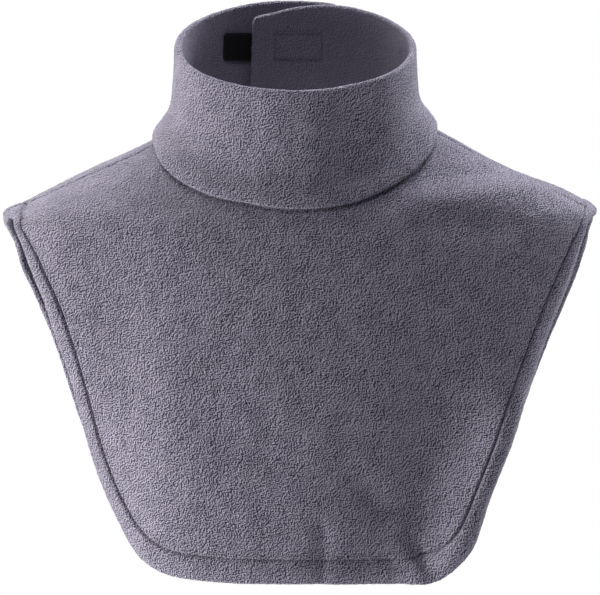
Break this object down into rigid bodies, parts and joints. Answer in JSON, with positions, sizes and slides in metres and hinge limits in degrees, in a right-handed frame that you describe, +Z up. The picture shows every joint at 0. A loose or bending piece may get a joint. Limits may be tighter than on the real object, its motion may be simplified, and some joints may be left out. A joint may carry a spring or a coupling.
{
  "type": "neck warmer",
  "caption": "Fleece neck warmer with a doubled stand collar and a bib front and back, closed behind the neck with hook-and-loop tape, shown worn.",
  "frame": {"origin": "middle of the neckline, where the collar is sewn to the panels and sits round the neck", "axes": "+Z up the neck, -Y to the wearer's front, +X to the viewer's right"},
  "size_m": [0.382, 0.2159, 0.3582],
  "materials": {
    "fleece": "napped fleece",
    "closing_tape": "woven hook-and-loop tape"
  },
  "bodies": {
    "root": {"front_panel": "fleece", "back_panel": "fleece", "collar": "fleece", "loop_patch": "closing_tape", "hook_patch": "closing_tape"}
  },
  "joints": []
}
